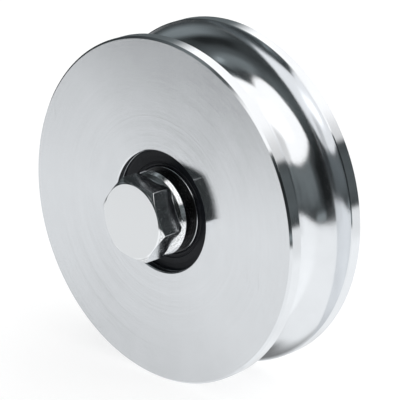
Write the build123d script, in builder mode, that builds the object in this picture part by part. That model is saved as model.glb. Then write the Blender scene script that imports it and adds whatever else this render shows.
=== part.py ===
from build123d import *
import os
from math import asin, cos, degrees, radians, sin, tan

# Sliding gate wheel on its axle bolt. Millimetres.
# The wheel's axis is Y, its centre is the origin, and its front face looks towards -Y.
# The bolt's head stands in front of that face and its threaded end points along +Y.

# Wheel body
wheel_diameter = 98.0
groove_radius = 10.0
land_chamfer = 0.5
lip_thickness = 2.0
lip_height = 2.75
lip_chamfer = 0.3
rolled_lip_height = 2.1
rolled_lip_slope = 0.5
roll_trench_width = 2.6
roll_trench_depth = 0.9
roll_trench_gap = 0.6

# Deep groove ball bearing, two of them
bearing_bore = 17.0
bearing_outer_diameter = 40.0
bearing_width = 12.0
ball_share_of_section = 0.5867
inner_shoulder_share = 0.174
outer_shoulder_share = 0.17
filling_angle = 195.0
race_radius_excess = 0.135
ball_clearance = 0.02
ring_edge_radius = 0.6

# Cage, two pressed ribbons riveted together
cage_inner_clearance = 0.5
cage_outer_clearance = 0.45
cage_thickness = 0.7
pocket_clearance = 0.12
cage_seal_gap = 0.2065
rivet_shank_radius = 0.5
rivet_head_radius = 0.85
rivet_head_height = 0.4

# Rubber seals on steel inserts
seal_mouth_step = 1.0
seal_seat_depth = 0.3
seal_recess = 0.4
seal_thickness = 1.2
seal_lip_clearance = 0.06
seal_lip_width = 1.0
seal_lip_thickness = 0.7
insert_inner_inset = 1.15
insert_outer_inset = 0.4
insert_thickness = 0.4

# Axle bolt
hex_across_flats = 21.0
hex_corner_angle = -8.0
hex_height = 7.1
hex_chamfer_angle = 30.0
collar_margin = 1.5
collar_thickness = 2.1
collar_stand_off = 1.85
neck_inset = 1.25
collar_edge = 0.25
shank_shortening = 0.2
thread_radius = 7.0
thread_relief_depth = 1.2
thread_relief_length = 2.4
thread_end_chamfer = 1.5
thread_free_length = 4.0

# What clamps the bearings from behind
bush_inset = 0.25
bush_stand_off = 2.0
bush_chamfer = 0.5
web_room = 8.0
washer_radius = 14.0
washer_thickness = 2.5
washer_bore_clearance = 0.5
spring_washer_radius = 12.05
spring_washer_thickness = 3.0
spring_washer_gap = 1.2
spring_washer_slant = 20.0
nut_height = 12.8
nut_mouth_chamfer = 0.8

# Fits inside one body
seat_clearance = 0.01
thread_clearance = 0.05

# Worked out from the sizes above
wheel_radius = wheel_diameter / 2
bearing_pair_half = bearing_width
half_width = bearing_pair_half + lip_thickness
bearing_radius = bearing_outer_diameter / 2
lip_bore_radius = bearing_radius - lip_height
rolled_lip_radius = bearing_radius - rolled_lip_height
pitch_radius = (bearing_bore + bearing_outer_diameter) / 4
ring_section = (bearing_outer_diameter - bearing_bore) / 2
inner_shoulder_radius = pitch_radius - inner_shoulder_share * ring_section
outer_shoulder_radius = pitch_radius + outer_shoulder_share * ring_section
seal_outer_face = bearing_width / 2 - seal_recess
seal_inner_face = seal_outer_face - seal_thickness
seal_mouth_radius = outer_shoulder_radius + seal_mouth_step
seal_seat_radius = seal_mouth_radius + seal_seat_depth
insert_inner_radius = inner_shoulder_radius + insert_inner_inset
insert_outer_radius = seal_mouth_radius - insert_outer_inset
# The balls are as large as both the rings' section and the width between the seals allow,
# and as many as fill the usual share of the circle.
ball_radius_by_section = ball_share_of_section * ring_section / 2
ball_radius_by_width = seal_inner_face - cage_seal_gap - cage_thickness - pocket_clearance
ball_radius = min(ball_radius_by_section, ball_radius_by_width)
race_radius = ball_radius + race_radius_excess
ball_count = int(filling_angle / degrees(2 * asin(ball_radius / pitch_radius)) + 1)
cage_inner_radius = inner_shoulder_radius + cage_inner_clearance
cage_outer_radius = outer_shoulder_radius - cage_outer_clearance
shank_radius = bearing_bore / 2 - seat_clearance
thread_relief_radius = thread_radius - thread_relief_depth
neck_radius = inner_shoulder_radius - neck_inset
collar_radius = hex_across_flats / 2 + collar_margin
collar_back = -half_width - collar_stand_off
collar_front = collar_back - collar_thickness
head_front = collar_front - hex_height
hex_corner_radius = hex_across_flats / 2 / cos(radians(30))
bush_front = bearing_pair_half
bush_back = half_width + bush_stand_off
bush_radius = inner_shoulder_radius - bush_inset
washer_front = bush_back + web_room
washer_back = washer_front + washer_thickness
spring_washer_back = washer_back + spring_washer_thickness
nut_back = spring_washer_back + nut_height
bolt_end = nut_back + thread_free_length
shank_end = bearing_pair_half - shank_shortening


def section_plane(y_centre=0.0):
    """Plane for a turned profile: its x is the radius and its y runs along the axis."""
    return Plane(origin=(0, y_centre, 0), x_dir=(1, 0, 0), z_dir=(0, 0, 1))


def facing_plane(y_place, side):
    """Plane across the axis at y_place that looks towards -Y (side -1) or +Y (side 1)."""
    return Plane(origin=(0, y_place, 0), x_dir=(1, 0, 0), z_dir=(0, side, 0))


def save(shape, name):
    """Labels a finished piece and writes it as parts/name.step."""
    shape.label = name
    export_step(shape, f"parts/{name}.step")


def make_wheel_body():
    """Turned disc: round groove, chamfered lands, bearing bore, front lip and rolled rear lip."""
    with BuildPart() as wheel_body:
        with BuildSketch(section_plane()):
            with BuildLine():
                Polyline(
                    (lip_bore_radius, -half_width),
                    (wheel_radius, -half_width),
                    (wheel_radius, half_width),
                    (rolled_lip_radius + rolled_lip_slope, half_width),
                    (rolled_lip_radius, bearing_pair_half),
                    (bearing_radius, bearing_pair_half),
                    (bearing_radius, -bearing_pair_half),
                    (lip_bore_radius, -bearing_pair_half),
                    close=True,
                )
            profile = make_face()
            front_lip_edge = profile.vertices().sort_by(Axis.Y)[:2].sort_by(Axis.X)[0]
            chamfer(front_lip_edge, length=lip_chamfer)
            with Locations((wheel_radius, 0)):
                Circle(groove_radius, mode=Mode.SUBTRACT)
            rim_corners = vertices().group_by(Axis.X)[-1]
            chamfer(rim_corners, length=land_chamfer)
            # The roller that closes the rear lip leaves a shallow trench behind it.
            trench_start = bearing_radius + roll_trench_gap
            with BuildLine():
                Polyline(
                    (trench_start, half_width),
                    (trench_start + roll_trench_width / 3, half_width - roll_trench_depth),
                    (trench_start + roll_trench_width, half_width),
                    close=True,
                )
            make_face(mode=Mode.SUBTRACT)
        revolve(axis=Axis.Y)
    save(wheel_body.part, "wheel_body")


def make_outer_ring(name, y_centre):
    """Outer ring: raceway in the middle, and at each end a grooved recess for a seal."""
    half = bearing_width / 2
    with BuildPart() as ring:
        with BuildSketch(section_plane(y_centre)):
            ring_depth = bearing_radius - outer_shoulder_radius
            with Locations((outer_shoulder_radius + ring_depth / 2, 0)):
                Rectangle(ring_depth, bearing_width)
            outer_corners = vertices().group_by(Axis.X)[-1]
            fillet(outer_corners, radius=ring_edge_radius)
            for side in (-1, 1):
                mouth_depth = seal_recess + seal_thickness
                with Locations((seal_mouth_radius, side * half)):
                    Rectangle(
                        2 * (seal_mouth_radius - outer_shoulder_radius),
                        2 * mouth_depth,
                        align=(Align.MAX, Align.CENTER),
                        mode=Mode.SUBTRACT,
                    )
                with Locations((outer_shoulder_radius, side * (seal_outer_face + seal_inner_face) / 2)):
                    Rectangle(
                        seal_seat_radius - outer_shoulder_radius,
                        seal_thickness,
                        align=(Align.MIN, Align.CENTER),
                        mode=Mode.SUBTRACT,
                    )
            with Locations((pitch_radius + ball_clearance + ball_radius - race_radius, 0)):
                Circle(race_radius, mode=Mode.SUBTRACT)
        revolve(axis=Axis.Y)
    save(ring.part, f"{name}_outer_ring")


def make_inner_ring(name, y_centre):
    """Inner ring: bore on the bolt's shank, raceway, and plain shoulders for the seal lips."""
    with BuildPart() as ring:
        with BuildSketch(section_plane(y_centre)):
            ring_depth = inner_shoulder_radius - bearing_bore / 2
            with Locations((bearing_bore / 2 + ring_depth / 2, 0)):
                Rectangle(ring_depth, bearing_width)
            bore_corners = vertices().group_by(Axis.X)[0]
            fillet(bore_corners, radius=ring_edge_radius)
            shoulder_corners = vertices().group_by(Axis.X)[-1]
            chamfer(shoulder_corners, length=ring_edge_radius / 3)
            with Locations((pitch_radius - ball_clearance - ball_radius + race_radius, 0)):
                Circle(race_radius, mode=Mode.SUBTRACT)
        revolve(axis=Axis.Y)
    save(ring.part, f"{name}_inner_ring")


def make_balls(name, y_centre):
    """The balls, each its own piece, evenly spaced round the pitch circle."""
    for number in range(ball_count):
        turn = radians(360 / ball_count * number)
        with BuildPart() as ball:
            with Locations((pitch_radius * cos(turn), y_centre, pitch_radius * sin(turn))):
                Sphere(ball_radius)
        save(ball.part, f"{name}_ball_{number + 1}")


def make_cage_half(name, y_centre, side, label):
    """One pressed ribbon: flat between the balls, and domed over each of them."""
    pocket_radius = ball_radius + pocket_clearance
    dome_radius = pocket_radius + cage_thickness
    with BuildPart() as ribbon:
        mid_plane = facing_plane(y_centre, side)
        with BuildSketch(mid_plane):
            Circle(cage_outer_radius)
            Circle(cage_inner_radius, mode=Mode.SUBTRACT)
        extrude(amount=cage_thickness)
        with Locations(mid_plane):
            with PolarLocations(pitch_radius, ball_count):
                Sphere(dome_radius)
        with BuildSketch(mid_plane):
            Circle(cage_outer_radius)
            Circle(cage_inner_radius, mode=Mode.SUBTRACT)
        extrude(amount=dome_radius + cage_thickness, mode=Mode.INTERSECT)
        with Locations(mid_plane):
            with PolarLocations(pitch_radius, ball_count):
                Sphere(pocket_radius, mode=Mode.SUBTRACT)
            with PolarLocations(pitch_radius, ball_count, start_angle=180 / ball_count):
                Hole(rivet_shank_radius + seat_clearance)
    save(ribbon.part, f"{name}_cage_{label}_half")


def make_cage_rivets(name, y_centre):
    """Round-headed rivets that hold the two ribbons together, one between each two balls."""
    head_front = -cage_thickness - rivet_head_height
    with BuildPart() as rivets:
        with Locations(facing_plane(y_centre, 1)):
            with PolarLocations(pitch_radius, ball_count, start_angle=180 / ball_count):
                Cylinder(rivet_shank_radius, 2 * cage_thickness)
                with Locations((0, 0, head_front + rivet_head_height / 2)):
                    Cylinder(rivet_head_radius, rivet_head_height)
                with Locations((0, 0, cage_thickness + rivet_head_height / 2)):
                    Cylinder(rivet_head_radius, rivet_head_height)
        head_rims = rivets.faces().filter_by(Axis.Y).edges().filter_by(GeomType.CIRCLE)
        outer_rims = head_rims.group_by(Axis.Y)[0] + head_rims.group_by(Axis.Y)[-1]
        fillet(outer_rims, radius=rivet_head_height / 2)
    save(rivets.part, f"{name}_cage_rivets")


def make_seal(name, y_centre, side, label):
    """Rubber ring snapped into the outer ring, with a thin lip that runs on the inner ring."""
    lip_radius = inner_shoulder_radius + seal_lip_clearance
    with BuildPart() as seal:
        with BuildSketch(section_plane(y_centre)):
            with BuildLine():
                Polyline(
                    (lip_radius, side * seal_outer_face),
                    (seal_mouth_radius, side * seal_outer_face),
                    (seal_seat_radius - seat_clearance, side * (seal_outer_face - seal_thickness / 4)),
                    (seal_seat_radius - seat_clearance, side * seal_inner_face),
                    (insert_outer_radius, side * seal_inner_face),
                    (insert_outer_radius, side * (seal_inner_face + insert_thickness)),
                    (insert_inner_radius, side * (seal_inner_face + insert_thickness)),
                    (lip_radius + seal_lip_width / 2, side * (seal_outer_face - seal_lip_thickness)),
                    (lip_radius, side * (seal_outer_face - seal_lip_thickness / 2)),
                    close=True,
                )
            make_face()
        revolve(axis=Axis.Y)
    save(seal.part, f"{name}_{label}_seal")

    with BuildPart() as insert:
        with BuildSketch(facing_plane(y_centre + side * seal_inner_face, side)):
            Circle(insert_outer_radius - seat_clearance)
            Circle(insert_inner_radius, mode=Mode.SUBTRACT)
        extrude(amount=insert_thickness)
    save(insert.part, f"{name}_{label}_seal_insert")


def make_bearing(name, y_centre, face_side):
    """A whole sealed bearing. face_side is the side that looks out of the wheel, -1 or 1."""
    make_outer_ring(name, y_centre)
    make_inner_ring(name, y_centre)
    make_balls(name, y_centre)
    make_cage_half(name, y_centre, -1, "left")
    make_cage_half(name, y_centre, 1, "right")
    make_cage_rivets(name, y_centre)
    make_seal(name, y_centre, face_side, "face")
    make_seal(name, y_centre, -face_side, "back")


def make_axle_bolt():
    """Hexagon head with a collar, a neck against the inner ring, the shank and the thread."""
    corner_drop = (hex_corner_radius - hex_across_flats / 2) * tan(radians(hex_chamfer_angle))
    with BuildPart() as bolt:
        with BuildSketch(facing_plane(collar_front, -1)):
            RegularPolygon(
                hex_across_flats / 2, side_count=6, major_radius=False, rotation=hex_corner_angle
            )
        extrude(amount=hex_height)
        # A cone turned on the head takes its corners off.
        with BuildSketch(section_plane()):
            with BuildLine():
                Polyline(
                    (0, head_front),
                    (hex_across_flats / 2, head_front),
                    (hex_corner_radius, head_front + corner_drop),
                    (hex_corner_radius, collar_front),
                    (0, collar_front),
                    close=True,
                )
            make_face()
        revolve(axis=Axis.Y, mode=Mode.INTERSECT)
        with BuildSketch(section_plane()):
            with BuildLine():
                Polyline(
                    (0, collar_front),
                    (collar_radius - collar_edge, collar_front),
                    (collar_radius, collar_front + collar_edge),
                    (collar_radius, collar_back),
                    (neck_radius, collar_back),
                    (neck_radius, -bearing_pair_half),
                    (shank_radius, -bearing_pair_half),
                    (shank_radius, shank_end),
                    (thread_relief_radius, shank_end),
                    (thread_relief_radius, shank_end + thread_relief_length),
                    (thread_radius, shank_end + thread_relief_length),
                    (thread_radius, bolt_end - thread_end_chamfer),
                    (thread_radius - thread_end_chamfer, bolt_end),
                    (0, bolt_end),
                    close=True,
                )
            make_face()
        revolve(axis=Axis.Y)
    save(bolt.part, "axle_bolt")


def make_distance_bush():
    """Bush that clamps the inner rings and stands proud of the rear face, as the gate's web seat."""
    with BuildPart() as bush:
        with BuildSketch(facing_plane(bush_front, 1)):
            Circle(bush_radius)
            Circle(thread_radius + seat_clearance, mode=Mode.SUBTRACT)
        extrude(amount=bush_back - bush_front)
        end_rims = bush.edges().filter_by(GeomType.CIRCLE).group_by(SortBy.RADIUS)[-1]
        chamfer(end_rims, length=bush_chamfer)
    save(bush.part, "distance_bush")


def make_plain_washer():
    """Flat washer between the gate's web, which has its room in front of it, and the spring washer."""
    with BuildPart() as washer:
        with BuildSketch(facing_plane(washer_front, 1)):
            Circle(washer_radius)
            Circle(thread_radius + washer_bore_clearance, mode=Mode.SUBTRACT)
        extrude(amount=washer_thickness)
        outer_rims = washer.edges().filter_by(GeomType.CIRCLE).group_by(SortBy.RADIUS)[-1]
        chamfer(outer_rims, length=washer_thickness / 10)
    save(washer.part, "plain_washer")


def make_spring_washer():
    """Split spring washer, pressed flat, with its slanting cut on the upper side."""
    with BuildPart() as washer:
        with BuildSketch(facing_plane(washer_back, 1)):
            Circle(spring_washer_radius)
            Circle(thread_radius + thread_clearance, mode=Mode.SUBTRACT)
        extrude(amount=spring_washer_thickness)
        slant = spring_washer_thickness / 2 * tan(radians(spring_washer_slant))
        with BuildSketch(Plane.XY):
            with BuildLine():
                Polyline(
                    (-slant - spring_washer_gap / 2, washer_back),
                    (-slant + spring_washer_gap / 2, washer_back),
                    (slant + spring_washer_gap / 2, spring_washer_back),
                    (slant - spring_washer_gap / 2, spring_washer_back),
                    close=True,
                )
            make_face()
        extrude(amount=spring_washer_radius + spring_washer_gap, mode=Mode.SUBTRACT)
    save(washer.part, "spring_washer")


def make_hex_nut():
    """Hexagon nut with both ends turned to a cone and a countersunk mouth at each end."""
    corner_drop = (hex_corner_radius - hex_across_flats / 2) * tan(radians(hex_chamfer_angle))
    bore_radius = thread_radius + thread_clearance
    with BuildPart() as nut:
        with BuildSketch(facing_plane(spring_washer_back, 1)):
            RegularPolygon(hex_across_flats / 2, side_count=6, major_radius=False)
        extrude(amount=nut_height)
        with BuildSketch(section_plane()):
            with BuildLine():
                Polyline(
                    (bore_radius + nut_mouth_chamfer, spring_washer_back),
                    (hex_across_flats / 2, spring_washer_back),
                    (hex_corner_radius, spring_washer_back + corner_drop),
                    (hex_corner_radius, nut_back - corner_drop),
                    (hex_across_flats / 2, nut_back),
                    (bore_radius + nut_mouth_chamfer, nut_back),
                    (bore_radius, nut_back - nut_mouth_chamfer),
                    (bore_radius, spring_washer_back + nut_mouth_chamfer),
                    close=True,
                )
            make_face()
        revolve(axis=Axis.Y, mode=Mode.INTERSECT)
    save(nut.part, "hex_nut")


os.makedirs("parts", exist_ok=True)
make_wheel_body()
make_bearing("front_bearing", -bearing_width / 2, -1)
make_bearing("rear_bearing", bearing_width / 2, 1)
make_axle_bolt()
make_distance_bush()
make_plain_washer()
make_spring_washer()
make_hex_nut()
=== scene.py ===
"""Sliding gate wheel on its axle bolt: bright zinc-plated turned steel, a black seal and a soft studio."""
from math import acos, asin, cos, pi, radians, sin, sqrt, tan

import bpy
from mathutils import Matrix, Vector


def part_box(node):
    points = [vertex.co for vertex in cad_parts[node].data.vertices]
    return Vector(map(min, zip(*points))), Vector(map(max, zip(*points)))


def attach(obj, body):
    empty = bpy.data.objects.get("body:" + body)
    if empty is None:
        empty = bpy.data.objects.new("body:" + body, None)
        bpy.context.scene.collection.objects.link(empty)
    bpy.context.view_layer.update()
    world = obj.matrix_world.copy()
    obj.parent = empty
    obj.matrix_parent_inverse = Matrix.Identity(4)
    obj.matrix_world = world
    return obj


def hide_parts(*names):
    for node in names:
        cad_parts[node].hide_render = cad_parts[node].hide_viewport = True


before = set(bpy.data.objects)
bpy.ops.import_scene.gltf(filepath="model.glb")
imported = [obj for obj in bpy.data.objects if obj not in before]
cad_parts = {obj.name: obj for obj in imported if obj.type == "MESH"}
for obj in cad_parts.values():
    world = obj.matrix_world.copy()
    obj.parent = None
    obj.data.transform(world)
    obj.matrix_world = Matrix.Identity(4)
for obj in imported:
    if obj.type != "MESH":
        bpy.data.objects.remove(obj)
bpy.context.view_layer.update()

bl_info = {
    "name": "Sliding gate wheel",
    "version": (1, 0, 0),
    "blender": (4, 5, 0),
    "location": "View3D > Sidebar > Gate wheel",
    "description": "Dresses the solids of a grooved gate wheel with turned, threaded and moulded pieces",
    "category": "Object",
}

MM = 0.001

MERGE_DISTANCE = 1e-7
RIM_STEPS = 360
FINE_STEPS = 224
PLAIN_STEPS = 192

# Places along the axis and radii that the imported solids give.
WHEEL_LOW, WHEEL_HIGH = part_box("wheel_body")
BOLT_LOW, BOLT_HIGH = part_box("axle_bolt")
BUSH_LOW, BUSH_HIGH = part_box("distance_bush")
WASHER_LOW, WASHER_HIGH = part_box("plain_washer")
SPRING_LOW, SPRING_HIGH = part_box("spring_washer")
NUT_LOW, NUT_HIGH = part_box("hex_nut")
FRONT_RING_LOW, FRONT_RING_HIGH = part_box("front_bearing_outer_ring")
REAR_RING_LOW, REAR_RING_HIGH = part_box("rear_bearing_outer_ring")
FRONT_SEAL_LOW, FRONT_SEAL_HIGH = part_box("front_bearing_face_seal")
REAR_SEAL_LOW, REAR_SEAL_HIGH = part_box("rear_bearing_face_seal")


# Camera fitted to the photograph: its place, the way it looks and its upward direction.
CAMERA_PLACE = (0.6529, -0.6704, 0.3215)
CAMERA_AHEAD = (-0.65895, 0.67836, -0.32498)
CAMERA_UP = (-0.2264, 0.2331, 0.9457)


# Sizes and finishes that a user may change

def length_setting(name, description, default):
    """A size in metres that shows in the sidebar."""
    return bpy.props.FloatProperty(
        name=name, description=description, default=default, min=0.0, precision=5, unit="LENGTH"
    )


def share_setting(name, description, default):
    """A share from 0 to 1 that shows in the sidebar."""
    return bpy.props.FloatProperty(
        name=name, description=description, default=default, min=0.0, max=1.0, subtype="FACTOR"
    )


def level_setting(name, description, default):
    """A brightness that shows in the sidebar."""
    return bpy.props.FloatProperty(name=name, description=description, default=default, min=0.0)


def colour_setting(name, description, default):
    """A colour that shows in the sidebar."""
    return bpy.props.FloatVectorProperty(
        name=name, description=description, default=default, min=0.0, max=1.0, size=3, subtype="COLOR"
    )


class GateWheelSizes(bpy.types.PropertyGroup):
    """Sizes of the detail that the solids leave plain."""

    groove_radius: length_setting("Groove radius", "Radius of the groove that runs on the track", 10 * MM)
    groove_chamfer: length_setting("Groove edge", "Chamfer where the groove meets the lands", 0.25 * MM)
    land_chamfer: length_setting("Land chamfer", "Chamfer at the four corners of the rim", 0.6 * MM)
    edge_rounding: length_setting("Turned edge", "Rounding left on edges turned on the lathe", 0.06 * MM)
    lip_bore: length_setting("Front lip bore", "Radius of the front lip round the seal", 17.25 * MM)
    rolled_lip_bore: length_setting("Rear lip bore", "Radius of the lip behind the rear bearing", 17.9 * MM)
    face_ring: length_setting("Face ring", "Radius of the fine double ring cut in the front face", 26.4 * MM)
    face_ring_gap: length_setting("Face ring gap", "Distance between the two lines of that ring", 0.9 * MM)
    face_ring_depth: length_setting("Face ring depth", "Depth of each line of that ring", 0.006 * MM)
    across_flats: length_setting("Across flats", "Size of the bolt's and nut's hexagons", 21 * MM)
    head_edge: length_setting("Hexagon edge", "Width of the softened edges of head and nut", 0.2 * MM)
    thread_pitch: length_setting("Thread pitch", "Pitch of the coarse thread on the bolt", 2 * MM)
    thread_depth: length_setting("Thread depth", "Height of the thread over its root", 1.22 * MM)
    spring_gap: length_setting("Spring washer gap", "Width of the spring washer's slanting cut", 1.2 * MM)


class GateWheelFinishes(bpy.types.PropertyGroup):
    """Colours and gloss of the pieces."""

    wheel_colour: colour_setting("Wheel", "Zinc-plated steel of the wheel", (0.803, 0.818, 0.838))
    bolt_colour: colour_setting("Bolt", "Zinc-plated steel of bolt, nut and washers", (0.88, 0.89, 0.9))
    bearing_colour: colour_setting("Bearing", "Ground steel of the bearing rings", (0.62, 0.63, 0.65))
    ball_colour: colour_setting("Balls", "Polished steel of the balls", (0.75, 0.76, 0.78))
    sheet_colour: colour_setting("Pressed sheet", "Steel of cages, rivets and seal inserts", (0.58, 0.59, 0.6))
    rubber_colour: colour_setting("Rubber", "Black rubber of the seals", (0.012, 0.0135, 0.018))
    wheel_roughness: share_setting("Wheel roughness", "Blur of what the wheel reflects", 0.1)
    bolt_roughness: share_setting("Bolt roughness", "Blur of what the bolt reflects", 0.13)
    rubber_roughness: share_setting("Rubber roughness", "Blur of what the seals reflect", 0.3)


class GateWheelStage(bpy.types.PropertyGroup):
    """Light, floor and camera."""

    softbox_level: level_setting("Softbox", "Brightness of the white light above and to the right", 1.22)
    paper_level: level_setting("Paper", "Brightness of the pale paper that the steel reflects", 0.995)
    room_level: level_setting("Room", "Brightness of the dark room between paper and softbox", 0.05)
    floor_shade: share_setting("Floor shade", "Share of the floor's white that the object can shade", 0.42)
    focal_length: bpy.props.FloatProperty(
        name="Lens", description="Focal length of the camera in millimetres", default=322.1, min=1.0,
        subtype="DISTANCE_CAMERA",
    )


# Modelling by hand: each helper is a short run of operators

def only(piece):
    """Makes piece the one selected and active object."""
    bpy.ops.object.select_all(action="DESELECT")
    piece.select_set(True)
    bpy.context.view_layer.objects.active = piece


def named(name):
    """Gives the active object and its mesh a name, and sets its place into its mesh."""
    piece = bpy.context.object
    piece.name = name
    piece.data.name = name
    bpy.ops.object.transform_apply(location=True, rotation=True, scale=True)
    return piece


def with_modifier(piece, kind, **settings):
    """Adds a modifier, sets it and applies it."""
    only(piece)
    modifier = piece.modifiers.new(kind.lower(), kind)
    for setting, value in settings.items():
        setattr(modifier, setting, value)
    bpy.ops.object.modifier_apply(modifier=modifier.name)


def combine(piece, tool, operation):
    """Cuts or intersects piece with tool, and deletes the tool."""
    with_modifier(piece, "BOOLEAN", object=tool, operation=operation, solver="EXACT")
    bpy.data.objects.remove(tool)
    if not piece.data.polygons:
        raise RuntimeError(f"nothing is left of {piece.name}")


def tidy_mesh(piece):
    """Merges doubles and turns all faces outwards."""
    only(piece)
    bpy.ops.object.mode_set(mode="EDIT")
    bpy.ops.mesh.select_all(action="SELECT")
    bpy.ops.mesh.remove_doubles(threshold=MERGE_DISTANCE)
    bpy.ops.mesh.normals_make_consistent(inside=False)
    bpy.ops.object.mode_set(mode="OBJECT")


def smooth(piece, angle=32):
    """Smooth shading that keeps flat faces flat beside their rounded edges."""
    only(piece)
    bpy.ops.object.shade_smooth_by_angle(angle=radians(angle))
    with_modifier(piece, "WEIGHTED_NORMAL", mode="FACE_AREA", weight=100, keep_sharp=True)


def rounded_corner(before, corner, after, rounding):
    """Start, centre and turn of the arc that rounds a corner of an outline."""
    back = (Vector(before) - Vector(corner)).normalized()
    ahead = (Vector(after) - Vector(corner)).normalized()
    opening = acos(max(-1.0, min(1.0, back.dot(ahead))))
    start = Vector(corner) + back * (rounding / tan(opening / 2))
    centre = Vector(corner) + (back + ahead).normalized() * (rounding / sin(opening / 2))
    side = 1 if back.x * ahead.y - back.y * ahead.x < 0 else -1
    return start, centre, side * (pi - opening)


class Outline:
    """Half section of a turned piece, drawn by moving one vertex in the plane of radius and axis."""

    def __init__(self, name, radius, y):
        bpy.ops.object.select_all(action="DESELECT")
        bpy.ops.mesh.primitive_plane_add(size=MM, location=(radius, y, 0))
        self.piece = named(name)
        self.first = self.tip = Vector((radius, y))
        bpy.ops.object.mode_set(mode="EDIT")
        bpy.ops.mesh.merge(type="CENTER")

    def line(self, radius, y):
        """Draws a straight line to a radius and a place along the axis."""
        step = Vector((radius, y)) - self.tip
        bpy.ops.mesh.extrude_vertices_move(TRANSFORM_OT_translate={"value": (step.x, step.y, 0)})
        self.tip = Vector((radius, y))
        return self

    def arc(self, centre_radius, centre_y, turn, steps):
        """Draws an arc round a centre. A positive turn runs from the radius towards the axis direction."""
        bpy.ops.mesh.spin(steps=steps, angle=-turn, center=(centre_radius, centre_y, 0), axis=(0, 0, 1))
        centre = Vector((centre_radius, centre_y))
        self.tip = centre + Matrix.Rotation(turn, 2) @ (self.tip - centre)
        return self

    def corners(self, places, rounding=0.0, steps=3):
        """Draws lines through corners, each given as radius, y and if wanted its own rounding."""
        for index, place in enumerate(places):
            own = place[2] if len(place) > 2 else rounding
            if own and index + 1 < len(places):
                start, centre, turn = rounded_corner(self.tip, place[:2], places[index + 1][:2], own)
                self.line(start.x, start.y)
                self.arc(centre.x, centre.y, turn, steps)
            else:
                self.line(place[0], place[1])
        return self

    def turn(self, steps):
        """Closes the outline and spins it once round the Y axis."""
        self.line(self.first.x, self.first.y)
        bpy.ops.mesh.select_all(action="SELECT")
        bpy.ops.mesh.remove_doubles(threshold=MERGE_DISTANCE)
        bpy.ops.mesh.select_all(action="SELECT")
        bpy.ops.mesh.spin(steps=steps, angle=2 * pi, center=(0, 0, 0), axis=(0, 1, 0))
        bpy.ops.object.mode_set(mode="OBJECT")
        tidy_mesh(self.piece)
        return self.piece


def hexagon_prism(name, front, back, across_flats, corner_turn):
    """A hexagonal bar along the axis. corner_turn is the angle of a corner from +X towards +Z."""
    corner = across_flats / sqrt(3)
    bpy.ops.object.select_all(action="DESELECT")
    bpy.ops.mesh.primitive_cylinder_add(
        vertices=6, radius=corner, depth=back - front, location=(0, (front + back) / 2, 0),
        rotation=(pi / 2, radians(30 - corner_turn), 0),
    )
    return named(name)


def helix_ridge(name, outline, start_y, pitch, turns, steps=48):
    """A ridge wound round the Y axis, from its section drawn as radius and place along the axis."""
    first = outline[0]
    ridge = Outline(name, first[0], start_y + first[1])
    ridge.corners([(radius, start_y + y) for radius, y in outline[1:]])
    ridge.line(first[0], start_y + first[1])
    bpy.ops.mesh.select_all(action="SELECT")
    bpy.ops.mesh.remove_doubles(threshold=MERGE_DISTANCE)
    bpy.ops.object.mode_set(mode="OBJECT")
    with_modifier(
        ridge.piece, "SCREW", axis="Y", angle=2 * pi, screw_offset=pitch, iterations=turns,
        steps=steps, render_steps=steps, use_merge_vertices=False,
    )
    bpy.ops.object.mode_set(mode="EDIT")
    bpy.ops.mesh.select_all(action="DESELECT")
    bpy.ops.mesh.select_non_manifold(extend=False)
    bpy.ops.mesh.fill_holes(sides=len(outline) + 1)
    bpy.ops.object.mode_set(mode="OBJECT")
    tidy_mesh(ridge.piece)
    return ridge.piece


def dress(piece, body, slot, finish, *nodes):
    """A finished piece takes its material, rides on its body and stands for its solids."""
    piece.data.materials.clear()
    piece.data.materials.append(finish)
    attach(piece, body)
    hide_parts(*nodes)
    return piece


# Shader nodes

class Number:
    """A number that changes over a surface, with arithmetic that adds Math nodes."""

    def __init__(self, shader, socket):
        self.shader = shader
        self.socket = socket

    def math(self, operation, *others):
        """One Math node with this number first."""
        inputs = dict(enumerate((self,) + others))
        return self.shader.node("ShaderNodeMath", {"operation": operation}, inputs)

    def __add__(self, other):
        return self.math("ADD", other)

    __radd__ = __add__

    def __sub__(self, other):
        return self.math("SUBTRACT", other)

    def __rsub__(self, other):
        return self.shader.node("ShaderNodeMath", {"operation": "SUBTRACT"}, {0: other, 1: self})

    def __mul__(self, other):
        return self.math("MULTIPLY", other)

    __rmul__ = __mul__

    def __truediv__(self, other):
        return self.math("DIVIDE", other)

    def __neg__(self):
        return self * -1.0

    def step(self, low, high):
        """0 below low, 1 above high, and smooth between."""
        return self.shader.node(
            "ShaderNodeMapRange", {"interpolation_type": "SMOOTHSTEP"},
            {"Value": self, "From Min": low, "From Max": high},
        )

    def ramp(self, low, high):
        """0 below low, 1 above high, and straight between."""
        return self.shader.node("ShaderNodeMapRange", {}, {"Value": self, "From Min": low, "From Max": high})

    def band(self, low, high, soft):
        """1 between low and high, and 0 outside."""
        return self.step(low - soft, low + soft) * (1.0 - self.step(high - soft, high + soft))


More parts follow.
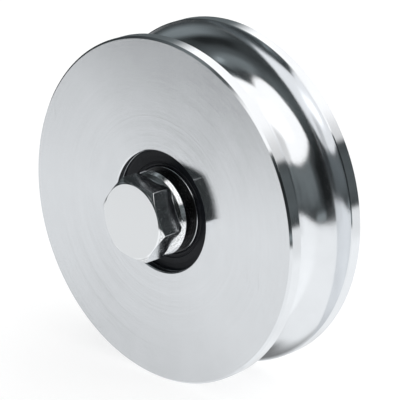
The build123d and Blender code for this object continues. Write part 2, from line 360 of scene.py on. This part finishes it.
class Shader:
    """The nodes of one material, or of the world."""

    def __init__(self, tree):
        self.tree = tree
        self.tree.nodes.clear()

    def node(self, kind, settings=None, inputs=None, output=0):
        """Adds a node, sets it, then fills its inputs with values or links, and returns one output."""
        made = self.tree.nodes.new(kind)
        for setting, value in (settings or {}).items():
            setattr(made, setting, value)
        for key, value in (inputs or {}).items():
            if isinstance(value, Number):
                self.tree.links.new(value.socket, made.inputs[key])
            else:
                made.inputs[key].default_value = value
        if not made.outputs:
            return None
        return Number(self, made.outputs[output])

    def split(self, vector):
        """The three numbers of a vector."""
        parts = self.node("ShaderNodeSeparateXYZ", {}, {0: vector})
        return [Number(self, socket) for socket in parts.socket.node.outputs]

    def join(self, x, y, z):
        """A vector from three numbers."""
        return self.node("ShaderNodeCombineXYZ", {}, {0: x, 1: y, 2: z})

    def place(self):
        """The point on the surface, in metres in the object's own frame."""
        return self.node("ShaderNodeTexCoord", {}, {}, "Object")

    def noise(self, vector, scale, detail=2.0, roughness=0.5):
        """Soft noise from 0 to 1."""
        return self.node(
            "ShaderNodeTexNoise", {"normalize": True},
            {"Vector": vector, "Scale": scale, "Detail": detail, "Roughness": roughness},
        )

    def tint(self, mask, first, second):
        """The first colour where mask is 0 and the second where it is 1."""
        return self.node(
            "ShaderNodeMix", {"data_type": "RGBA"}, {0: mask, 6: (*first, 1.0), 7: (*second, 1.0)}, 2
        )

    def darken(self, colour, mask):
        """The colour turned to nearly black where mask is 1, as painted shade."""
        # Near-black colour of the painted shade.
        shade_black = (0.02, 0.02, 0.021, 1.0)
        return self.node("ShaderNodeMix", {"data_type": "RGBA"}, {0: mask, 6: colour, 7: shade_black}, 2)

    def bump(self, height, distance):
        """A surface normal from a height. distance is how many metres a height of 1 stands for."""
        return self.node("ShaderNodeBump", {}, {"Height": height, "Distance": distance, "Strength": 1.0})

    def surface(self, reflection=0.5, **inputs):
        """The Principled shader and the output. reflection is the strength of a dull surface's sheen."""
        fed = {name.replace("_", " ").title(): value for name, value in inputs.items()}
        fed["Specular IOR Level"] = reflection
        shader = self.node("ShaderNodeBsdfPrincipled", {}, fed)
        self.node("ShaderNodeOutputMaterial", {}, {"Surface": shader})


def new_finish(name):
    """A material with an empty node tree."""
    finish = bpy.data.materials.new(name)
    finish.use_nodes = True
    return finish, Shader(finish.node_tree)


def lighter(colour, factor):
    """A colour made lighter or darker, kept under white."""
    return tuple(min(0.95, part * factor) for part in colour)


def turned_metal(name, colour, roughness, line_depth, lines, marks=1.0, face=None, worn=None, painted_shade_at=None):
    """Steel turned on a lathe: fine lines round the axis, a soft bloom and a few handling marks.

    line_depth is the height of a line in metres, lines how many there are in a metre, and marks the
    share of the handling marks that shows. face is how far from the middle the faces lie that the
    tool has left duller, worn the radius within which the groove is rubbed by the track, and the
    last argument the radius within which painted shade turns the steel nearly black."""
    finish, shader = new_finish(name)
    place = shader.place()
    x, y, z = shader.split(place)
    radius = (x * x + z * z).math("SQRT")
    drift = shader.noise(place, 35.0) * 1.5
    fine = shader.noise(shader.join(radius * lines, y * lines, drift), 1.0, 3.0, 0.6)
    coarse = shader.noise(shader.join(radius * (lines / 9), y * (lines / 9), drift), 1.0, 2.0, 0.5)
    bloom = shader.noise(place, 70.0, 4.0, 0.55)
    turned_place = shader.node(
        "ShaderNodeMapping", {}, {"Vector": place, "Rotation": (0.4, 0.7, 0.2), "Scale": (1.0, 1.0, 0.03)})
    scratches = shader.noise(turned_place, 2600.0, 1.0).step(0.70, 0.76)
    crossing_place = shader.node(
        "ShaderNodeMapping", {}, {"Vector": place, "Rotation": (-0.3, -0.9, 0.5), "Scale": (1.0, 1.0, 0.025)})
    crossing = shader.noise(crossing_place, 2300.0, 1.0).step(0.71, 0.77)
    handling = (scratches + crossing) * (bloom.step(0.42, 0.62) * marks)
    gloss = roughness + (bloom - 0.5) * 0.09 + (coarse - 0.5) * 0.05 + handling * 0.05
    colours = shader.tint(bloom.step(0.3, 0.7), lighter(colour, 0.965), lighter(colour, 1.02))
    if face is not None:
        # The facing cut leaves deeper lines, which draw reflections out along the radius.
        duller = y.math("ABSOLUTE").step(face - 0.1 * MM, face)
        fine = fine * (1.0 + duller * 5.0)
        coarse = coarse * (1.0 - duller * 0.6)
    if worn is not None:
        rubbed = y.math("ABSOLUTE").band(-1.0, 9.0 * MM, 0.8 * MM) * (1.0 - radius.step(worn - MM, worn))
        speck = shader.noise(place, 2600.0, 2.0, 0.6)
        fine = fine + speck * rubbed * 11.0
        gloss = gloss + rubbed * 0.02 + speck.step(0.6, 0.7) * rubbed * 0.1
    # Painted shade: inside that radius the steel is turned nearly black, with a few paler specks, and dulled,
    # for a recess.
    if painted_shade_at is not None:
        painted_shade = (1.0 - radius.step(painted_shade_at - 0.05 * MM, painted_shade_at)) * (0.93 - fine.step(0.5, 0.66) * 0.25)
        colours = shader.darken(colours, painted_shade)
        gloss = gloss + painted_shade * 0.2
    normal = shader.bump(fine + coarse * 1.6 + handling * -0.5, line_depth)
    shader.surface(base_color=colours, metallic=1.0, roughness=gloss, normal=normal)
    return finish


def forged_metal(name, colour, roughness, mottle=0.85, smooth_end=None, painted_shade_at=None):
    """Cold-formed, plated steel: fine grain on its sides, and a smooth end.

    mottle is the share of the colour that is left in the grain's hollows, smooth_end the place
    along the axis up to which the end is smooth, and the last argument the two places along the
    axis between which painted shade turns the steel nearly black."""
    finish, shader = new_finish(name)
    place = shader.place()
    x, y, z = shader.split(place)
    radius = (x * x + z * z).math("SQRT")
    grain = shader.noise(place, 2400.0, 3.0, 0.6)
    swell = shader.noise(place, 320.0, 2.0, 0.5)
    rings = shader.noise(shader.join(radius * 3800.0, y * 3800.0, shader.noise(place, 60.0) * 1.5), 1.0, 2.0)
    pits = grain.step(0.6, 0.7)
    sides = 1.0
    if smooth_end is not None:
        sides = 0.012 + y.step(smooth_end - 0.1 * MM, smooth_end) * 0.988
    gloss = roughness + ((swell - 0.5) * 0.1 + pits * 0.14) * sides
    colours = shader.tint((1.0 - grain.step(0.4, 0.58)) * sides, colour, lighter(colour, mottle))
    # Painted shade: between those two places the steel is turned nearly black, with a few paler specks, and
    # dulled, for a recess.
    if painted_shade_at is not None:
        painted_shade = y.step(painted_shade_at[0], painted_shade_at[0] + 0.1 * MM) * (1.0 - y.step(painted_shade_at[1], painted_shade_at[1] + 0.1 * MM))
        painted_shade = painted_shade * (0.93 - grain.step(0.5, 0.66) * 0.3)
        colours = shader.darken(colours, painted_shade)
        gloss = gloss + painted_shade * 0.2
    normal = shader.bump((grain * 2.2 + rings + swell * 2.5 - pits * 2.0) * sides, 4e-6)
    shader.surface(base_color=colours, metallic=1.0, roughness=gloss, normal=normal)
    return finish


def sheet_metal(name, colour, roughness):
    """Pressed sheet: satin, with a fine rolled grain."""
    finish, shader = new_finish(name)
    place = shader.place()
    grain = shader.noise(place, 1800.0, 3.0, 0.6)
    cloud = shader.noise(place, 180.0, 3.0)
    colours = shader.tint(cloud, lighter(colour, 0.9), lighter(colour, 1.05))
    shader.surface(
        base_color=colours, metallic=1.0, roughness=roughness + (cloud - 0.5) * 0.14,
        normal=shader.bump(grain + cloud, 8e-6),
    )
    return finish


def polished_metal(name, colour):
    """Polished steel of a ball, with the faintest haze."""
    finish, shader = new_finish(name)
    place = shader.place()
    haze = shader.noise(place, 260.0, 3.0)
    shader.surface(
        base_color=shader.tint(haze, lighter(colour, 0.97), lighter(colour, 1.02)), metallic=1.0,
        roughness=0.05 + haze * 0.05, normal=shader.bump(haze, 1e-6),
    )
    return finish


def moulded_rubber(name, colour, roughness):
    """Black rubber from a turned mould: fine rings, a slight grain and dust in the hollows."""
    finish, shader = new_finish(name)
    place = shader.place()
    x, y, z = shader.split(place)
    radius = (x * x + z * z).math("SQRT")
    grain = shader.noise(place, 3200.0, 2.0, 0.6)
    rings = shader.noise(shader.join(radius * 2600.0, 0.0, 0.0), 1.0, 2.0)
    dust = shader.noise(place, 420.0, 4.0, 0.65).step(0.52, 0.8)
    colours = shader.tint(dust, colour, lighter(colour, 1.9))
    shader.surface(
        reflection=0.24, base_color=colours, metallic=0.0,
        roughness=roughness + dust * 0.12 + (grain - 0.5) * 0.08,
        normal=shader.bump(grain * 0.8 + rings, 9e-6),
    )
    return finish


# The pieces

class GATEWHEEL_OT_wheel_body(bpy.types.Operator):
    """Turns the wheel: round groove, chamfered lands, face ring, front lip and rolled rear lip"""

    bl_idname = "gate_wheel.wheel_body"
    bl_label = "Turn wheel body"

    def execute(self, context):
        sizes = context.scene.gate_wheel_sizes
        finishes = context.scene.gate_wheel_finishes
        rim, front, back = WHEEL_HIGH.z, WHEEL_LOW.y, WHEEL_HIGH.y
        bearing_front, bearing_back = FRONT_RING_LOW.y, REAR_RING_HIGH.y
        bearing_radius = FRONT_RING_HIGH.z
        edge = sizes.edge_rounding
        chamfer = sizes.land_chamfer

        # The groove's edges are broken by a small chamfer, which starts this far up its wall.
        broken, groove = sizes.groove_chamfer, sizes.groove_radius
        wall_angle = asin(broken / groove)
        wall_y = groove * cos(wall_angle)

        ring, gap, depth = sizes.face_ring, sizes.face_ring_gap, sizes.face_ring_depth
        line_half_width = gap / 2.2
        face_lines = []
        for line in (ring, ring + gap):
            face_lines += [
                (line - line_half_width, front), (line, front + depth), (line + line_half_width, front),
            ]
        lip_chamfer = 0.3 * MM
        wheel = Outline("wheel_turned", sizes.lip_bore, bearing_front)
        wheel.corners([
            (sizes.lip_bore, front + lip_chamfer, edge),
            (sizes.lip_bore + lip_chamfer, front, edge),
            *face_lines,
            (rim - chamfer, front, edge),
            (rim, front + chamfer, edge),
            (rim, -wall_y - broken),
            (rim - broken, -wall_y),
        ])
        wheel.arc(rim, 0, -(pi - 2 * wall_angle), 96)
        wheel.line(rim, wall_y + broken)

        # Rolling the rear lip over the bearing leaves a shallow trench round it.
        trench, trench_width, trench_depth = bearing_radius + 0.6 * MM, 2.6 * MM, 0.9 * MM
        trench_bottom, trench_edge = 0.87 * MM, 0.25 * MM
        roll, roll_edge = 0.5 * MM, 0.4 * MM
        wheel.corners([
            (rim, back - chamfer, edge),
            (rim - chamfer, back, edge),
            (trench + trench_width, back, 0.3 * MM),
            (trench + trench_bottom, back - trench_depth, trench_edge),
            (trench, back, trench_edge),
            (sizes.rolled_lip_bore + roll, back, roll_edge),
            (sizes.rolled_lip_bore, bearing_back),
            (bearing_radius, bearing_back),
            (bearing_radius, bearing_front),
        ])
        piece = wheel.turn(RIM_STEPS)
        smooth(piece)
        metal = turned_metal(
            "bright_turned_steel", finishes.wheel_colour, finishes.wheel_roughness, line_depth=0.8e-6,
            lines=26000.0, face=back, worn=rim - 0.4 * MM,
        )
        dress(piece, "wheel", "turned_steel", metal, "wheel_body")
        return {"FINISHED"}


class GATEWHEEL_OT_axle_bolt(bpy.types.Operator):
    """Makes the bolt: chamfered hexagon head, turned collar and neck, shank and a wound thread"""

    bl_idname = "gate_wheel.axle_bolt"
    bl_label = "Make axle bolt"

    def execute(self, context):
        sizes = context.scene.gate_wheel_sizes
        finishes = context.scene.gate_wheel_finishes
        flat = sizes.across_flats / 2
        corner = sizes.across_flats / sqrt(3)
        head_height, collar_thickness, relief_length = 7.1 * MM, 2.1 * MM, 2.4 * MM
        head_front, bolt_end = BOLT_LOW.y, BOLT_HIGH.y
        collar_front = head_front + head_height
        collar_back = collar_front + collar_thickness
        collar, neck, shank = flat + 1.5 * MM, 11.0 * MM, 8.49 * MM
        bearing_front, shank_end = FRONT_RING_LOW.y, 11.8 * MM
        crest = 7.0 * MM
        root = crest - sizes.thread_depth
        thread_start = shank_end + relief_length
        slope = tan(radians(30))
        corner_turn = -8

        # The hexagon reaches a little way into the collar, and the cone takes its front corners off.
        head = hexagon_prism(
            "bolt_with_thread", head_front - MM, collar_front + 0.12 * MM, sizes.across_flats, corner_turn
        )
        cone = Outline("head_cone", 0, head_front)
        cone.corners([
            (flat - 0.15 * MM, head_front),
            (corner + MM, head_front + (corner + 1.15 * MM - flat) * slope),
            (corner + MM, collar_front + MM),
            (0, collar_front + MM),
        ])
        combine(head, cone.turn(180), "INTERSECT")
        with_modifier(
            head, "BEVEL", width=sizes.head_edge, segments=3, limit_method="ANGLE",
            angle_limit=radians(35), offset_type="WIDTH",
        )
        tidy_mesh(head)

        turned = Outline("bolt_body", 0, collar_front)
        turned.corners([
            (flat - 0.3 * MM, collar_front),
            (collar - 0.6 * MM, collar_front + 0.9 * MM, 0.3 * MM),
            (collar, collar_back - 0.15 * MM, 0.12 * MM),
            (collar, collar_back, 0.12 * MM),
            (neck, collar_back, 0.3 * MM),
            (neck, bearing_front),
            (shank, bearing_front),
            (shank, shank_end, 0.3 * MM),
            (root, shank_end + 0.1 * MM, 0.4 * MM),
            (root, bolt_end - 0.4 * MM, 0.2 * MM),
            (root - 0.4 * MM, bolt_end, 0.15 * MM),
            (0, bolt_end),
        ])
        body = turned.turn(PLAIN_STEPS)

        # The ridge starts and ends past the thread, and the envelope cuts it to length.
        pitch = sizes.thread_pitch
        sunk = root - 0.2 * MM
        turns = int((bolt_end - thread_start) / pitch) + 2
        half_foot, half_crest, half_flat, crest_edge = 0.85 * MM, 0.17 * MM, 0.09 * MM, 0.08 * MM
        ridge = [
            (sunk, -half_foot), (crest - crest_edge, -half_crest), (crest, -half_flat),
            (crest, half_flat), (crest - crest_edge, half_crest), (sunk, half_foot),
        ]
        thread = helix_ridge("bolt_thread", ridge, thread_start - pitch, pitch, turns)
        envelope = Outline("thread_envelope", 0, thread_start)
        envelope.corners([
            (root, thread_start),
            (crest + 0.3 * MM, thread_start + 1.3 * MM),
            (crest + 0.3 * MM, bolt_end - 1.9 * MM),
            (root - 0.2 * MM, bolt_end - 0.15 * MM),
            (0, bolt_end - 0.15 * MM),
        ])
        combine(thread, envelope.turn(128), "INTERSECT")
        only(head)
        body.select_set(True)
        thread.select_set(True)
        bpy.ops.object.join()
        smooth(head, 28)
        # The neck between the collar and the bearing is painted nearly black, as shade in the recess there.
        metal = forged_metal(
            "plated_bolt_steel", finishes.bolt_colour, finishes.bolt_roughness, mottle=0.74,
            smooth_end=head_front + 0.3 * MM, painted_shade_at=(collar_back - 0.02 * MM, bearing_front),
        )
        dress(head, "axle", "bolt_steel", metal, "axle_bolt")
        return {"FINISHED"}


class GATEWHEEL_OT_face_seals(bpy.types.Operator):
    """Moulds the two seals that show, with their rims, hollows and thin running lips"""

    bl_idname = "gate_wheel.face_seals"
    bl_label = "Mould face seals"

    def execute(self, context):
        finishes = context.scene.gate_wheel_finishes
        rubber = moulded_rubber("black_seal_rubber", finishes.rubber_colour, finishes.rubber_roughness)
        for name, node, face, side in (
            ("front_seal_moulded", "front_bearing_face_seal", FRONT_SEAL_LOW.y, 1),
            ("rear_seal_moulded", "rear_bearing_face_seal", REAR_SEAL_HIGH.y, -1),
        ):
            outer, inner, insert = FRONT_SEAL_HIGH.z, 12.31 * MM, 16.81 * MM
            sunk, waist, back = 0.3 * MM, 0.8 * MM, 1.2 * MM
            # Radius, depth below the face and rounding of each corner, in millimetres
            section = [
                (12.5, 0.05, 0.08), (13.1, 0.05, 0.1), (13.25, 0.25, 0.06), (13.5, 0.25, 0.06),
                (13.65, 0.06, 0.1), (15.2, 0.12, 0.8), (16.5, 0.0, 0.6), (17.05, 0.1, 0.3),
            ]
            shown = [
                (radius * MM, face + side * depth * MM, rounding * MM) for radius, depth, rounding in section
            ]
            seal = Outline(name, inner, face + side * sunk)
            seal.corners([
                *shown,
                (outer, face + side * sunk),
                (outer, face + side * back),
                (insert, face + side * back),
                (insert, face + side * waist),
                (13.4 * MM, face + side * waist),
                (12.81 * MM, face + side * 0.7 * MM),
            ])
            piece = seal.turn(FINE_STEPS)
            smooth(piece, 40)
            dress(piece, "wheel", "black_rubber", rubber, node)
        return {"FINISHED"}


class GATEWHEEL_OT_bush_and_washers(bpy.types.Operator):
    """Turns the distance bush, the plain washer and the split spring washer"""

    bl_idname = "gate_wheel.bush_and_washers"
    bl_label = "Turn bush and washers"

    def execute(self, context):
        sizes = context.scene.gate_wheel_sizes
        finishes = context.scene.gate_wheel_finishes
        edge = sizes.edge_rounding
        plated = turned_metal("plated_washer_steel", finishes.bolt_colour, 0.27, line_depth=3e-6, lines=3000.0)
        turned = turned_metal("turned_bush_steel", finishes.bolt_colour, 0.22, line_depth=3e-6, lines=4000.0)

        bore, radius, front, back = 7.01 * MM, BUSH_HIGH.z, BUSH_LOW.y, BUSH_HIGH.y
        chamfer, mouth = 0.5 * MM, 0.3 * MM
        bush = Outline("bush_turned", bore + mouth, front)
        bush.corners([
            (radius - chamfer, front, edge), (radius, front + chamfer, edge),
            (radius, back - chamfer, edge), (radius - chamfer, back, edge),
            (bore + chamfer, back, edge), (bore, back - chamfer, edge),
            (bore, front + mouth),
        ])
        piece = bush.turn(FINE_STEPS)
        smooth(piece)
        dress(piece, "axle", "bush_steel", turned, "distance_bush")

        bore, radius, front, back = 7.5 * MM, WASHER_HIGH.z, WASHER_LOW.y, WASHER_HIGH.y
        washer = Outline("washer_stamped", bore + 0.1 * MM, front)
        washer.corners([
            (radius, front, 0.15 * MM), (radius, back, 0.6 * MM),
            (bore, back, 0.5 * MM), (bore, front + 0.1 * MM),
        ], steps=5)
        piece = washer.turn(FINE_STEPS)
        smooth(piece)
        dress(piece, "axle", "zinc_steel", plated, "plain_washer")

        bore, radius, front, back = 7.05 * MM, SPRING_HIGH.x, SPRING_LOW.y, SPRING_HIGH.y
        spring = Outline("spring_washer_split", bore + 0.2 * MM, front)
        spring.corners([
            (radius, front, 0.35 * MM), (radius, back, 0.35 * MM),
            (bore, back, 0.3 * MM), (bore, front + 0.2 * MM),
        ], steps=5)
        piece = spring.turn(FINE_STEPS)
        slant = radians(20)
        bpy.ops.object.select_all(action="DESELECT")
        bpy.ops.mesh.primitive_cube_add(
            size=1, location=(0, (front + back) / 2, radius), rotation=(0, 0, -slant),
            scale=(sizes.spring_gap * cos(slant), 3 * (back - front), radius),
        )
        combine(piece, named("spring_cut"), "DIFFERENCE")
        tidy_mesh(piece)
        smooth(piece)
        dress(piece, "axle", "zinc_steel", plated, "spring_washer")
        return {"FINISHED"}


class GATEWHEEL_OT_hex_nut(bpy.types.Operator):
    """Makes the nut: hexagon with both ends coned, softened edges and countersunk mouths"""

    bl_idname = "gate_wheel.hex_nut"
    bl_label = "Make hexagon nut"

    def execute(self, context):
        sizes = context.scene.gate_wheel_sizes
        finishes = context.scene.gate_wheel_finishes
        flat = sizes.across_flats / 2
        corner = sizes.across_flats / sqrt(3)
        front, back = NUT_LOW.y, NUT_HIGH.y
        slope = tan(radians(30))
        drop = (corner + MM - flat) * slope
        nut = hexagon_prism("nut_with_cones", front - MM, back + MM, sizes.across_flats, 0)
        mouth, thread_bore = 7.85 * MM, 5.95 * MM
        cones = Outline("nut_cones", mouth, front)
        cones.corners([
            (flat, front), (corner + MM, front + drop),
            (corner + MM, back - drop), (flat, back),
            (mouth, back), (thread_bore, back - (mouth - thread_bore) * slope),
            (thread_bore, front + (mouth - thread_bore) * slope),
        ])
        combine(nut, cones.turn(240), "INTERSECT")
        with_modifier(
            nut, "BEVEL", width=sizes.head_edge, segments=3, limit_method="ANGLE",
            angle_limit=radians(20), offset_type="WIDTH",
        )
        tidy_mesh(nut)
        smooth(nut, 30)
        metal = forged_metal("plated_nut_steel", finishes.bolt_colour, 0.25)
        dress(nut, "axle", "zinc_steel", metal, "hex_nut")
        return {"FINISHED"}


class GATEWHEEL_OT_bearings(bpy.types.Operator):
    """Gives the bearing rings, balls, cages, rivets, inserts and inner seals their finishes"""

    bl_idname = "gate_wheel.bearings"
    bl_label = "Finish bearings"

    def execute(self, context):
        finishes = context.scene.gate_wheel_finishes
        # The rings' faces inside 12.15 mm, round the bolt's neck, are painted nearly black, as shade in that
        # recess.
        ground = turned_metal(
            "ground_ring_steel", finishes.bearing_colour, 0.16, line_depth=1.2e-6, lines=7000.0, marks=0.3,
            painted_shade_at=12.15 * MM,
        )
        polished = polished_metal("polished_ball_steel", finishes.ball_colour)
        pressed = sheet_metal("pressed_cage_steel", finishes.sheet_colour, 0.34)
        insert = sheet_metal("seal_insert_steel", lighter(finishes.sheet_colour, 0.92), 0.46)
        rubber = moulded_rubber("inner_seal_rubber", finishes.rubber_colour, 0.4)
        by_part = (
            ("_outer_ring", ground), ("_inner_ring", ground), ("_ball_", polished), ("_cage_", pressed),
            ("_seal_insert", insert), ("_back_seal", rubber),
        )
        done = 0
        for name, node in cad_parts.items():
            finish = next((metal for part, metal in by_part if part in name), None)
            if finish is None:
                continue
            node.data.materials.clear()
            node.data.materials.append(finish)
            done += 1
        if not done:
            raise RuntimeError("the packed model has no bearing nodes")
        return {"FINISHED"}


class GATEWHEEL_OT_stage(bpy.types.Operator):
    """Sets the white floor, the studio that the steel reflects, and the camera"""

    bl_idname = "gate_wheel.stage"
    bl_label = "Set stage"

    def execute(self, context):
        stage = context.scene.gate_wheel_stage
        context.scene.view_settings.view_transform = "Standard"
        self.place_camera(context, stage)
        self.paint_studio(context, stage)
        self.lay_floor(stage)
        return {"FINISHED"}

    def place_camera(self, context, stage):
        """Camera at the photograph's viewing angle: 44 degrees to the right and 19 above."""
        bpy.ops.object.select_all(action="DESELECT")
        bpy.ops.object.camera_add(location=CAMERA_PLACE)
        camera = context.object
        camera.name = "studio_camera"
        ahead = Vector(CAMERA_AHEAD).normalized()
        right = ahead.cross(Vector(CAMERA_UP)).normalized()
        turned = Matrix((right, right.cross(ahead), -ahead)).transposed()
        camera.rotation_euler = turned.to_euler()
        camera.data.lens = stage.focal_length
        camera.data.sensor_width = 36.0
        camera.data.sensor_fit = "HORIZONTAL"
        camera.data.clip_end = 50.0
        context.scene.camera = camera

    def paint_studio(self, context, stage):
        """Pale paper below, a dark room, and a large softbox above and to the right."""
        world = bpy.data.worlds.new("studio")
        world.use_nodes = True
        context.scene.world = world
        shader = Shader(world.node_tree)
        direction = shader.node("ShaderNodeTexCoord", {}, {}, "Generated")
        x, y, z = shader.split(direction)
        # Degrees round from the wheel's front towards its right, and degrees above the horizon.
        around = x.math("ARCTAN2", -y) * (180 / pi)
        above = z.math("ARCSINE") * (180 / pi)
        cloud = shader.noise(direction, 3.0, 4.0, 0.6)

        paper_edge = (
            around.step(60.0, 125.0) * 8.5 - around.step(-110.0, -60.0) * 4.0 - 12.5
            + around.band(-66.0, -46.5, 3.5) * 6.0
        )
        paper_mask = 1.0 - (above - paper_edge).step(-1.6, 1.0)
        # The paper is shaded towards its far edge on the left, which the wheel's face mirrors.
        left = around.band(-60.0, -36.0, 4.0)
        shaded = (above + around.ramp(-47.0, -43.5) * 1.6 - 1.6).step(-19.4, -15.6) * 0.5
        # Its near left corner is darker, which the face's lower edge mirrors,
        corner = (
            (1.0 - around.ramp(-47.0, -42.5)) * (1.0 - above.step(-22.6, -20.4))
            * above.step(-60.0, -46.0) * 0.55
        )
        # and so is a strip beside that corner, which the groove's lower end mirrors.
        near = (
            around.step(-47.5, -43.5) * (1.0 - around.step(-43.0, -30.0))
            * above.step(-64.0, -46.0) * (1.0 - above.step(-28.0, -22.5)) * 0.78
        )
        # The far left is duller, the right brighter, and the strip behind the wheel duller again.
        side = around.band(-158.0, -70.0, 8.0) * 0.13
        right = (
            around.band(74.0, 160.0, 10.0) * 0.05
            + around.band(80.0, 130.0, 28.0) * (1.0 - above.step(-50.0, -18.0)) * 0.08
        )
        behind = around.step(112.0, 130.0) * above.step(-26.0, -19.0) * 0.14
        paper = (
            stage.paper_level * (1.0 - left * (shaded + corner + 0.1))
            * (1.0 - near - side - behind + right)
        )

        # The softbox hangs lowest on the right, and a second one stands behind the wheel on the left.
        box_edge = (
            26.0 + (1.0 - around.ramp(17.0, 32.0)) * 20.0 + (1.0 - around.ramp(-14.0, 17.0)) * 18.0
            + (1.0 - around.ramp(-40.0, -14.0)) * 30.0 - around.step(118.0, 134.0) * 4.0
        )
        back_box = (1.0 - around.step(-147.0, -136.0)) * above.step(17.0, 27.0)
        box_mask = (above - box_edge).step(-1.0, 2.0)
        box_mask = box_mask + (1.0 - box_mask) * back_box
        softbox = stage.softbox_level * (
            1.0 - around.band(117.0, 146.0, 6.0) * (1.0 - above.step(45.0, 60.0)) * 0.35
            + around.band(70.0, 150.0, 14.0) * above.band(48.0, 70.0, 7.0) * 0.5
        )

        # The room between them is dark and uneven, with a few fields that are darker or paler still.
        room = (
            stage.room_level * (0.5 + cloud)
            * (1.0 - around.band(8.0, 46.0, 6.0) * above.band(-12.0, 18.0, 6.0) * 0.75)
            * (1.0 - around.band(-66.0, -38.0, 5.0) * above.band(17.0, 37.0, 6.0) * 0.6)
            + around.band(58.0, 136.0, 6.0) * above.band(-4.0, 25.0, 7.0)
            * (0.01 + cloud * 0.16 + above.step(0.0, 26.0) * 0.05)
            + around.band(-112.0, 10.0, 12.0) * above.band(38.0, 62.0, 8.0) * 0.04
            + around.band(44.0, 72.0, 5.0) * above.band(-14.0, -10.5, 1.5) * 0.3
            + around.band(-66.0, -44.0, 8.0) * above.band(-4.0, 18.0, 7.0) * 0.2
            + around.band(-12.0, 22.0, 8.0) * above.band(24.0, 52.0, 8.0) * 0.04
            + around.band(-106.0, -20.0, 10.0) * above.band(50.0, 70.0, 6.0) * 0.12
            + around.band(-106.0, -80.0, 6.0) * above.band(54.0, 60.0, 2.5) * 0.2
            + (1.0 - around.step(-150.0, -115.0)) * 0.16
        )
        # A pale wall stands behind the camera and in front of the wheel.
        off_round, off_above = (around + 12.0) / 30.0, (above + 5.0) / 24.0
        wall = (1.0 - off_round * off_round - off_above * off_above).step(0.0, 0.4) * 0.62
        camera_ray = shader.node("ShaderNodeLightPath", {}, {}, "Is Camera Ray")

        def part(room_share, paper_share):
            """One colour part of the studio: the room is slightly green, and the camera sees white."""
            light = room * room_share + wall * paper_share
            light = light + (softbox - light) * box_mask
            light = light + (paper * paper_share - light) * paper_mask
            return light + (1.0 - light) * camera_ray

        shade = shader.node(
            "ShaderNodeCombineColor", {},
            {"Red": part(0.88, 0.985), "Green": part(1.0, 1.0), "Blue": part(1.04, 1.01)},
        )
        background = shader.node("ShaderNodeBackground", {}, {"Color": shade, "Strength": 1.0})
        shader.node("ShaderNodeOutputWorld", {}, {"Surface": background})

    def lay_floor(self, stage):
        """A white sheet under the wheel, which takes a soft shadow and which the steel doesn't reflect."""
        bpy.ops.object.select_all(action="DESELECT")
        bpy.ops.mesh.primitive_plane_add(size=6, location=(0, 0, WHEEL_LOW.z))
        floor = named("studio_floor")
        finish, shader = new_finish("white_paper")
        paper = shader.node("ShaderNodeBsdfDiffuse", {}, {"Color": (stage.floor_shade,) * 3 + (1.0,)})
        # The glow makes up for what the shaded part of the white gives back, so the open floor is white.
        glow_level = 1.0 - stage.floor_shade * 0.55
        glow = shader.node("ShaderNodeEmission", {}, {"Color": (1.0, 1.0, 1.0, 1.0), "Strength": glow_level})
        both = shader.node("ShaderNodeAddShader", {}, {0: paper, 1: glow})
        shader.node("ShaderNodeOutputMaterial", {}, {"Surface": both})
        floor.data.materials.append(finish)
        floor.visible_glossy = False
        floor.visible_diffuse = False
        floor.visible_transmission = False
        floor.visible_shadow = False


PIECES = (
    GATEWHEEL_OT_wheel_body,
    GATEWHEEL_OT_axle_bolt,
    GATEWHEEL_OT_face_seals,
    GATEWHEEL_OT_bush_and_washers,
    GATEWHEEL_OT_hex_nut,
    GATEWHEEL_OT_bearings,
    GATEWHEEL_OT_stage,
)


class GATEWHEEL_PT_sidebar(bpy.types.Panel):
    """Settings and steps of the gate wheel"""

    bl_idname = "GATEWHEEL_PT_sidebar"
    bl_label = "Gate wheel"
    bl_space_type = "VIEW_3D"
    bl_region_type = "UI"
    bl_category = "Gate wheel"

    def draw(self, context):
        scene = context.scene
        for group in (scene.gate_wheel_sizes, scene.gate_wheel_finishes, scene.gate_wheel_stage):
            column = self.layout.column(align=True)
            for setting in type(group).__annotations__:
                column.prop(group, setting)
        column = self.layout.column(align=True)
        for piece in PIECES:
            column.operator(piece.bl_idname)


CLASSES = (GateWheelSizes, GateWheelFinishes, GateWheelStage, *PIECES, GATEWHEEL_PT_sidebar)


def register():
    for cls in CLASSES:
        bpy.utils.register_class(cls)
    bpy.types.Scene.gate_wheel_sizes = bpy.props.PointerProperty(type=GateWheelSizes)
    bpy.types.Scene.gate_wheel_finishes = bpy.props.PointerProperty(type=GateWheelFinishes)
    bpy.types.Scene.gate_wheel_stage = bpy.props.PointerProperty(type=GateWheelStage)


def unregister():
    del bpy.types.Scene.gate_wheel_stage
    del bpy.types.Scene.gate_wheel_finishes
    del bpy.types.Scene.gate_wheel_sizes
    for cls in reversed(CLASSES):
        bpy.utils.unregister_class(cls)


def main():
    register()
    bpy.ops.gate_wheel.stage()
    bpy.ops.gate_wheel.wheel_body()
    bpy.ops.gate_wheel.axle_bolt()
    bpy.ops.gate_wheel.face_seals()
    bpy.ops.gate_wheel.bush_and_washers()
    bpy.ops.gate_wheel.hex_nut()
    bpy.ops.gate_wheel.bearings()


if __name__ == "__main__":
    main()
